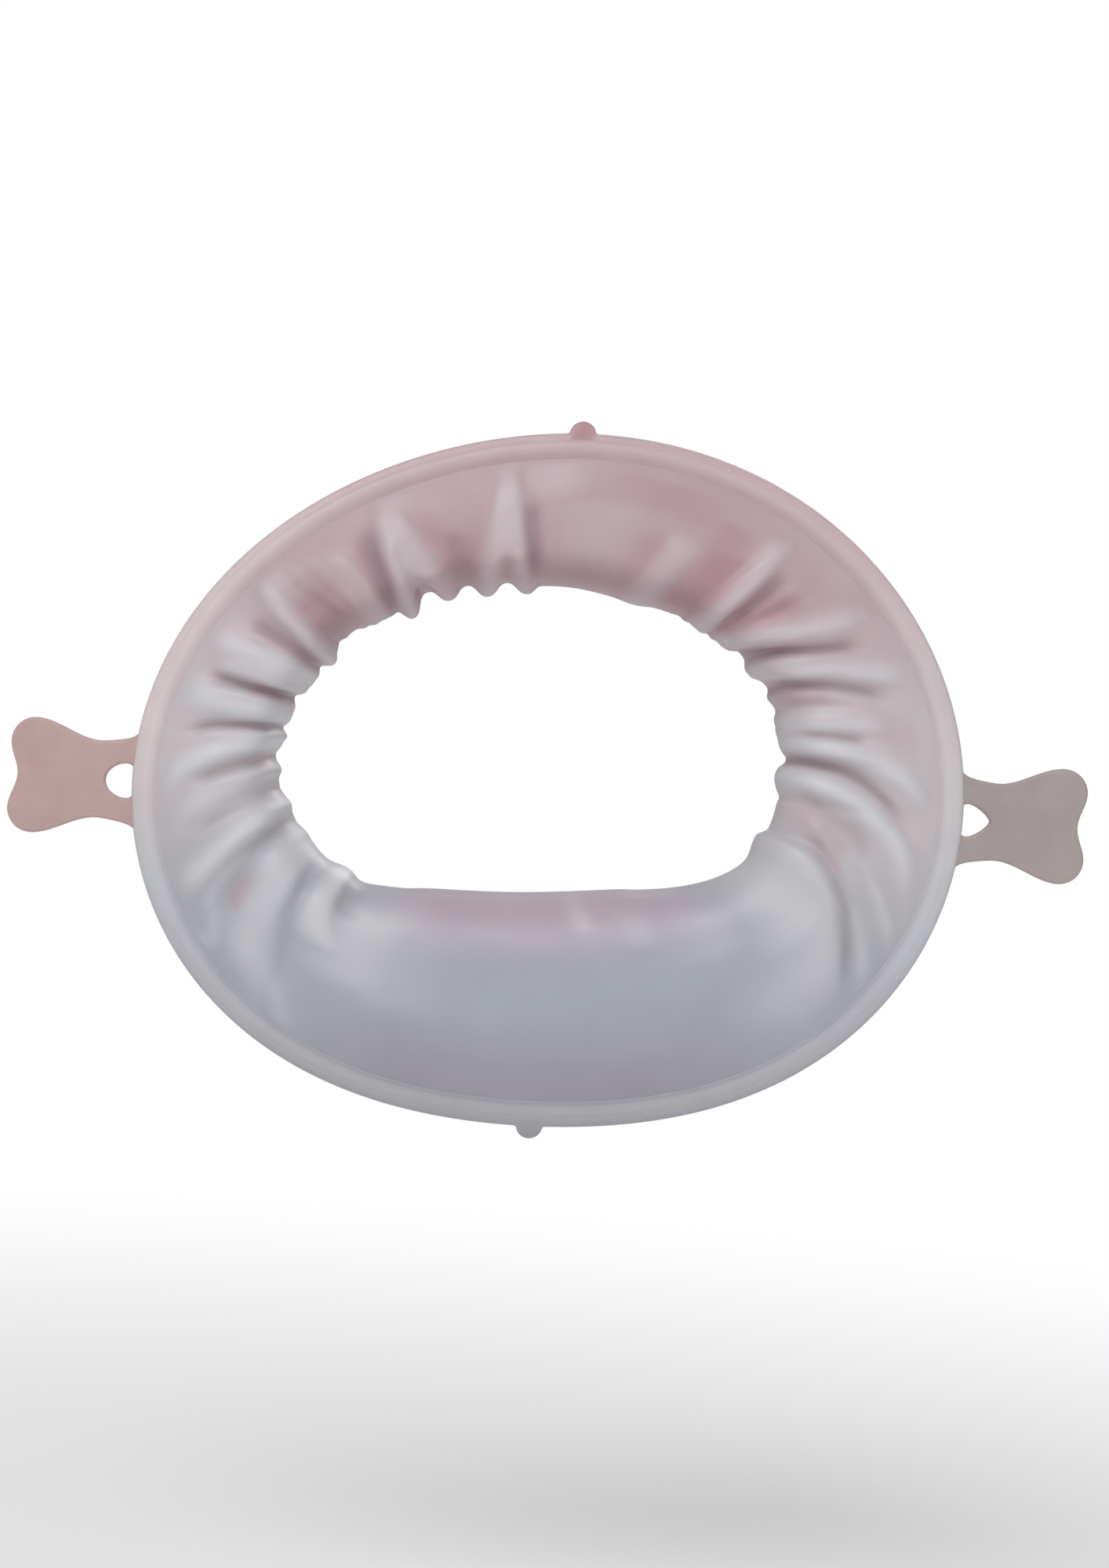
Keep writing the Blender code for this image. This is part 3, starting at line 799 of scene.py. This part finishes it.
def tab_outline(hole_power):
    """A tab as (distance out from the ring, height), from the lower leg's root anticlockwise."""
    lobe_at = TAB_LENGTH - LOBE_R
    u = np.linspace(TAB_ROOT, lobe_at, TAB_SIDE_STEPS)
    flare = (LEG_HALF - NECK_HALF) * (1 - smooth(u / NECK_AT))
    flare += ROOT_FLARE * np.exp(-np.maximum(u, 0.0) / FLARE_FADE)
    rise = (LOBE_HALF - NECK_HALF) * grow(u, NECK_AT, lobe_at - NECK_AT)
    side = np.stack([u, NECK_HALF + flare + rise], 1)
    turn = np.radians(np.linspace(90, 0, LOBE_STEPS))[1:]
    lobe_end = LOBE_HALF - LOBE_R
    lobe = np.stack([lobe_at + LOBE_R * np.cos(turn), lobe_end + LOBE_R * np.sin(turn)], 1)
    v = np.linspace(lobe_end, 0.0, LOBE_STEPS)[1:]
    dip = NOTCH_DEEP * (1 + np.cos(np.pi * v / lobe_end)) / 2
    notch = np.stack([TAB_LENGTH - dip, v], 1)
    outer = np.vstack([side, lobe, notch])
    share = np.sin(np.linspace(0, np.pi / 2, HOLE_STEPS))
    narrow = ROOT_FLARE * HOLE_FLARE * np.exp(-share * HOLE_LONG / HOLE_FLARE_FADE)
    narrow *= share < HOLE_TIP
    edge = HOLE_HALF * (1 - share**hole_power) ** (1 / hole_power) - narrow
    hole = np.stack([share * HOLE_LONG, np.maximum(edge, 0.0)], 1)
    hole = np.vstack([[(TAB_ROOT, hole[0, 1])], hole])
    mirror = np.array([1.0, -1.0])
    return np.vstack([outer[:-1], outer[::-1] * mirror, hole * mirror, hole[-2::-1]])


def outline_normals(points):
    """Unit vectors out of a closed anticlockwise or clockwise outline at each of its points."""
    after = np.roll(points, -1, 0)
    along = after - np.roll(points, 1, 0)
    along /= np.linalg.norm(along, axis=1)[:, None]
    normal = np.stack([along[:, 1], -along[:, 0]], 1)
    area = 0.5 * np.sum(points[:, 0] * after[:, 1] - points[:, 1] * after[:, 0])
    return normal if area > 0 else -normal


def cut_into_strips(ob, root_x, side):
    """Cuts a tab across near its root, and its two faces into triangles."""
    bm = bmesh.new()
    bm.from_mesh(ob.data)
    for k in range(1, STRIPS + 1):
        at = (root_x + side * k * STRIP, 0, 0)
        geom = bm.verts[:] + bm.edges[:] + bm.faces[:]
        bmesh.ops.bisect_plane(bm, geom=geom, dist=1e-7, plane_co=at, plane_no=(1, 0, 0))
    bmesh.ops.triangulate(bm, faces=[f for f in bm.faces if len(f.verts) > 4])
    bmesh.ops.recalc_face_normals(bm, faces=bm.faces)
    bm.to_mesh(ob.data)
    bm.free()
    ob.data.shade_smooth()


def pull_tab(name, side, height, hole_power, body, mat):
    """A flat bone-shaped tab with round edges, whose legs run on into the ring's edge."""
    near = math.pi if side < 0 else 0.0
    angle = near + np.linspace(-TAB_SPAN, TAB_SPAN, TAB_SPAN_STEPS)
    edge = around(RING_CENTRE, ring_radius, angle, 0.0, 0.0)
    edge = edge[np.argsort(edge[:, 2])]
    root_x = np.interp(height, edge[:, 2], edge[:, 0])
    flat = tab_outline(hole_power)
    out = outline_normals(flat)
    layers = []
    for turn in np.radians(np.linspace(-90, 90, TAB_EDGE_STEPS)):
        inset = TAB_ROUND * (1 - math.cos(turn))
        y = TAB_Y + (TAB_THICK / 2 - TAB_ROUND) * np.sign(turn) + TAB_ROUND * math.sin(turn)
        moved = flat - out * inset
        z = height + moved[:, 1]
        # the legs follow the ring's edge, so their roots are as deep in it all the way up
        local = np.interp(z, edge[:, 2], edge[:, 0]) - root_x
        follow = 1 - smooth(moved[:, 0] / LEG_FOLLOW)
        x = root_x + side * moved[:, 0] + local * follow
        layers.append(np.stack([x, np.full(len(x), y), z], 1))
    count = len(flat)
    faces = band_faces(len(layers), count, False)
    faces.append(tuple(range(count)))
    faces.append(tuple((len(layers) - 1) * count + i for i in reversed(range(count))))
    ob = mesh_object(name, np.vstack(layers), faces, mat)
    cut_into_strips(ob, root_x, side)
    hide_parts(body)
    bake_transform(ob)


# ---- sleeve ----


def fold_share(fold, share, past, angle, radius):
    """How strongly fold shows at each point: 1 on its crest, 0 away from it."""
    f, degrees = fold.line.T
    middle = np.radians(np.interp(share, f, degrees))
    slope = np.interp(share, f, np.radians(np.gradient(degrees, f))) * radius / FILM_REACH
    off = (angle - middle + np.pi) % (2 * np.pi) - np.pi
    off = off * radius / np.sqrt(1 + slope**2)
    wide = np.where(off > 0, fold.plus, fold.minus)
    wide = wide * (fold.spread[0] + (fold.spread[1] - fold.spread[0]) * share)
    across = np.exp(-(np.abs(off / wide) ** fold.flat))
    run = f[-1] - f[0]
    rise = smooth((share - f[0]) / max(fold.rise * run, LEAST_RISE) + RISE_AHEAD)
    past_end, fade_span = FADE_OUT
    fade = 1.0 if f[-1] > TO_OPENING else smooth((f[-1] + past_end - share) / fade_span)
    return across * rise * fade * (1 - smooth(past / FADE_PAST))


def fold_height(fold, shown, share):
    """Its height: it grows towards the opening, and is down to its tip's share there."""
    growth = GROWTH[0] + GROWTH[1] * share
    last = 1 - (1 - fold.tip) * grow(share, *TIP_FADE)
    return fold.high * growth * last * shown


def film_path():
    """The smooth sleeve's points by row and angle, with the angle, share in and spans past the waist."""
    angle = np.linspace(0, 2 * np.pi, FILM_STEPS, endpoint=False)
    start = around(RING_CENTRE, ring_radius, angle, FILM_INSET, FRONT_EDGE_Y)
    waist = around(WAIST_CENTRE, waist_radius, angle, 0.0, 0.0)
    end = around(INNER_CENTRE, inner_radius, angle, BACK_INSET, BACK_EDGE_Y)
    bulge = BULGE + LOWER_BULGE * np.maximum(0.0, -np.sin(angle))
    knots = []
    for inward, back, out in FRONT_PATH:
        p = start + (waist - start) * inward
        p[:, 1] = FRONT_EDGE_Y * (1 - back) - bulge * out
        knots.append(p)
    for outward, back in BACK_PATH:
        p = waist + (end - waist) * outward
        p[:, 1] = BACK_EDGE_Y * back
        knots.append(p)
    flat = catmull_rom([k.ravel() for k in knots], ROWS_PER_SPAN)
    points = flat.reshape(len(flat), FILM_STEPS, 3)
    shares = [p[0] for p in FRONT_PATH] + [1.0] * len(BACK_PATH)
    share = np.clip(catmull_rom([(s,) for s in shares], ROWS_PER_SPAN), 0, 1)
    past = np.maximum(np.arange(len(points))[:, None] - WAIST_ROW, 0) / ROWS_PER_SPAN
    shape = (len(points), FILM_STEPS)
    return points, np.broadcast_to(angle, shape), np.broadcast_to(share, shape), past


def grid_normals(points):
    """Unit normals of rows of points that close round, out of the front."""
    round_it = np.roll(points, -1, 1) - np.roll(points, 1, 1)
    normal = np.cross(round_it, np.gradient(points, axis=0))
    normal /= np.linalg.norm(normal, axis=2)[..., None]
    return normal if normal[WAIST_ROW // 2, 0, 1] < 0 else -normal


def wrinkles(angle, share, past):
    """The height of the fine wrinkles where the film is gathered."""
    gathered = np.zeros(angle.shape)
    for first, last in WRINKLED:
        span = (np.degrees(angle) - first) % 360
        gathered += smooth(span / WRINKLED_FADE) * smooth((last - first - span) / WRINKLED_FADE)
    gathered *= smooth(share / WRINKLED_IN) * (1 - smooth(past / FADE_PAST))
    waves = [tall * np.sin(n * angle + phase + WRINKLE_LEAN * share) for n, phase, tall in WRINKLES]
    return gathered * sum(waves) * MM


def film_grid():
    """The folded sleeve's points by row and angle, with what its material needs to know of each."""
    points, angle, share, past = film_path()
    radius = np.hypot(points[..., 0], points[..., 2])
    where = (share, past, angle, radius)
    height, light, crease_shade_and_pink, pink = np.zeros((4, *radius.shape))
    for fold in RIDGES:
        shown = fold_share(fold, *where)
        height += fold_height(fold, shown, share)
        light = np.maximum(light, fold.light * shown)
    clears, most = CREASE_CLEARS
    for fold in CREASES:
        shown = fold_share(fold, *where)
        height -= fold_height(fold, shown, share)
        light *= 1 - min(most, clears * fold.light) * shown
        # painted shade along each crease, with the pink that shows through where the film lies tight
        crease_shade_and_pink = np.maximum(crease_shade_and_pink, fold.light * shown**2)
    # pale patches, some of them painted highlights
    for patches, values in ((PINKS, pink), (PALES_AND_HIGHLIGHTS, light)):
        for start, stop, strong, wide in patches:
            shown = strong * fold_share(Fold([start, stop], 1.0, wide), *where)
            np.maximum(values, shown, out=values)
    height += wrinkles(angle, share, past)
    height *= smooth(share / RING_FADE)
    sine, degrees = np.sin(angle), np.degrees(angle)
    first, span, strong = LIP_PINK
    pink = np.maximum(pink, strong * grow(sine, first, span) * grow(share, *LIP_PINK_IN))
    at, half, strong = APRON_MAUVE
    first, last, span = APRON
    beside = grow(degrees, first, span) * grow(-degrees, -last, span)
    looks = {
        # ridges paler, partly with a painted highlight
        "light": light,
        "crease_shade_and_pink": crease_shade_and_pink,
        "pink": pink,
        "mauve": strong * hump(share, at, half) * (past == 0) * beside,
        "warm": grow(sine, *WARM),
        "cool": grow(-sine, *COOL),
        # painted shade at the bottom near the ring
        "bottom_shade": grow(-sine, *BOTTOM_SHADE) * (1 - grow(share, *BOTTOM_SHADE_OUT)),
    }
    return points + grid_normals(points) * height[..., None], looks


def seam_rows(grid, first, last):
    """Rows first to last, with one more hard by each end, on the tangent that both pieces share."""
    rows = list(grid[first : last + 1])
    if first > 0:
        rows.insert(1, grid[first] + SEAM_STEP * (grid[first + 1] - grid[first - 1]) / 2)
    if last < len(grid) - 1:
        rows.insert(-1, grid[last] - SEAM_STEP * (grid[last + 1] - grid[last - 1]) / 2)
    return np.array(rows)


def sleeve_piece(name, skins, looks, mat):
    """One zone of the sleeve as a closed wall between its front and its rear skin."""
    rows = [*skins[0], *skins[1][::-1]]
    faces = band_faces(len(rows), FILM_STEPS, True)
    ob = fix_normals(mesh_object(name, np.vstack(rows), faces, mat))
    for key, values in looks.items():
        store(ob, key, np.vstack([values, values[::-1]]))
    mesh = ob.data
    ends = np.array([v.vertices[:] for v in mesh.edges]) // FILM_STEPS
    half = len(skins[0])
    rim = np.isin(ends, (0, half - 1, half, 2 * half - 1)).all(1) & (ends[:, 0] == ends[:, 1])
    sharp = mesh.attributes.new("sharp_edge", "BOOLEAN", "EDGE")
    sharp.data.foreach_set("value", rim)
    return ob


def sleeve():
    points, looks = film_grid()
    offset = FILM_WALL / 2 * grid_normals(points)
    mat = film_material()
    for name, node, rows, bodies, (start, end) in SLEEVES:
        skins = [seam_rows(skin, *rows) for skin in (points + offset, points - offset)]
        here = {key: seam_rows(values, *rows) for key, values in looks.items()}
        ob = sleeve_piece(name, skins, here, mat)
        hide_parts(node)
        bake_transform(ob)


# ---- inner ring ----


def inner_ring():
    """A round bar bent to an oval, a little flat where the sleeve joins it."""
    angle = np.linspace(0, 2 * np.pi, INNER_STEPS, endpoint=False)
    rows = []
    for turn in np.linspace(0, 2 * np.pi, INNER_CORNERS, endpoint=False):
        squeeze = 1 - INNER_FLAT * math.cos(turn) ** 2
        inset = INNER_WIDTH / 2 * (1 - math.cos(turn) * squeeze)
        y = INNER_CENTRE[1] + INNER_DEEP / 2 * math.sin(turn)
        rows.append(around(INNER_CENTRE, inner_radius, angle, inset, y))
    faces = band_faces(len(rows), len(angle), True)
    ob = fix_normals(mesh_object("inner_ring_body", np.vstack(rows), faces, inner_material()))
    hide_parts("inner_ring")
    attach(ob, "inner")


# ---- stage, lights and camera ----


def seen_instead(tree, plain, seen, output, fade=None):
    """Joins plain to output, and seen in its place, by fade's share, where the camera looks at it."""
    share = tree.nodes.new("ShaderNodeLightPath").outputs["Is Camera Ray"]
    if fade:
        both = tree.nodes.new("ShaderNodeMath")
        both.operation = "MULTIPLY"
        tree.links.new(fade.outputs["Result"], both.inputs[0])
        tree.links.new(share, both.inputs[1])
        share = both.outputs[0]
    mix = tree.nodes.new("ShaderNodeMixShader")
    for socket, source in zip(mix.inputs, (share, plain.outputs[0], seen.outputs[0])):
        tree.links.new(source, socket)
    tree.links.new(mix.outputs[0], output.inputs["Surface"])


def stage():
    """A pale floor, which fades into the white of the background away from the object."""
    place = (0.0, 0.0, FLOOR_Z)
    bpy.ops.mesh.primitive_circle_add(vertices=96, radius=FLOOR_R, fill_type="TRIFAN", location=place)
    floor = bpy.context.object
    floor.name = "floor"
    mat = bpy.data.materials.new("pale_floor")
    mat.use_nodes = True
    tree = mat.node_tree
    shader = tree.nodes["Principled BSDF"]
    shader.inputs["Base Color"].default_value = FLOOR_TONE
    shader.inputs["Roughness"].default_value = FLOOR_ROUGHNESS
    shader.inputs["Specular IOR Level"].default_value = FLOOR_SPECULAR
    white = tree.nodes.new("ShaderNodeEmission")
    coord = tree.nodes.new("ShaderNodeTexCoord")
    distance = tree.nodes.new("ShaderNodeVectorMath")
    distance.operation = "LENGTH"
    tree.links.new(coord.outputs["Object"], distance.inputs[0])
    fade = tree.nodes.new("ShaderNodeMapRange")
    fade.interpolation_type = "SMOOTHSTEP"
    fade.inputs["From Min"].default_value = FLOOR_FADE[0]
    fade.inputs["From Max"].default_value = FLOOR_FADE[1]
    tree.links.new(distance.outputs["Value"], fade.inputs["Value"])
    seen_instead(tree, shader, white, tree.nodes["Material Output"], fade)
    floor.data.materials.append(mat)


def world():
    scene = bpy.context.scene
    scene.view_settings.view_transform = "Standard"
    scene.world = bpy.data.worlds.new("studio")
    scene.world.use_nodes = True
    tree = scene.world.node_tree
    plain = tree.nodes["Background"]
    seen = tree.nodes.new("ShaderNodeBackground")
    for background, strength in ((plain, AMBIENT), (seen, 1.0)):
        background.inputs["Color"].default_value = WHITE
        background.inputs["Strength"].default_value = strength
    seen_instead(tree, plain, seen, tree.nodes["World Output"])


def lights():
    for name, place, size, watts in LAMPS:
        data = bpy.data.lights.new(name, "AREA")
        data.shape = "DISK"
        data.size = size
        data.energy = watts
        ob = bpy.data.objects.new(name, data)
        ob.location = place
        aim = Vector(LAMPS_AT) - Vector(place)
        ob.rotation_euler = aim.to_track_quat("-Z", "Y").to_euler()
        bpy.context.collection.objects.link(ob)


def camera():
    """Straight in front, turned about its own axis so that the object leans clockwise in view."""
    data = bpy.data.cameras.new("camera")
    data.sensor_width = SENSOR
    data.lens = SENSOR * CAMERA_AWAY / SEEN_HEIGHT
    cam = bpy.data.objects.new("camera", data)
    up = Vector((-math.sin(CAMERA_LEAN), 0.0, math.cos(CAMERA_LEAN)))
    right = Vector((math.cos(CAMERA_LEAN), 0.0, math.sin(CAMERA_LEAN)))
    back = Vector((0.0, -1.0, 0.0))
    turn = Matrix((right, up, back)).transposed().to_4x4()
    place = Vector((CAMERA_AT[0], RING_CENTRE[1] - CAMERA_AWAY, CAMERA_AT[1]))
    cam.matrix_world = Matrix.Translation(place) @ turn
    bpy.context.collection.objects.link(cam)
    bpy.context.scene.camera = cam


outer_ring()
# The left tab's colour carries painted light and the right one's painted shade.
for tab_name, tab_side, tab_height, power, tab_body, tone in TABS:
    tab_mat = tab_material(tab_name + "_elastomer", srgb(*tone))
    pull_tab(tab_name, tab_side, tab_height, power, tab_body, tab_mat)
sleeve()
inner_ring()
stage()
world()
lights()
camera()
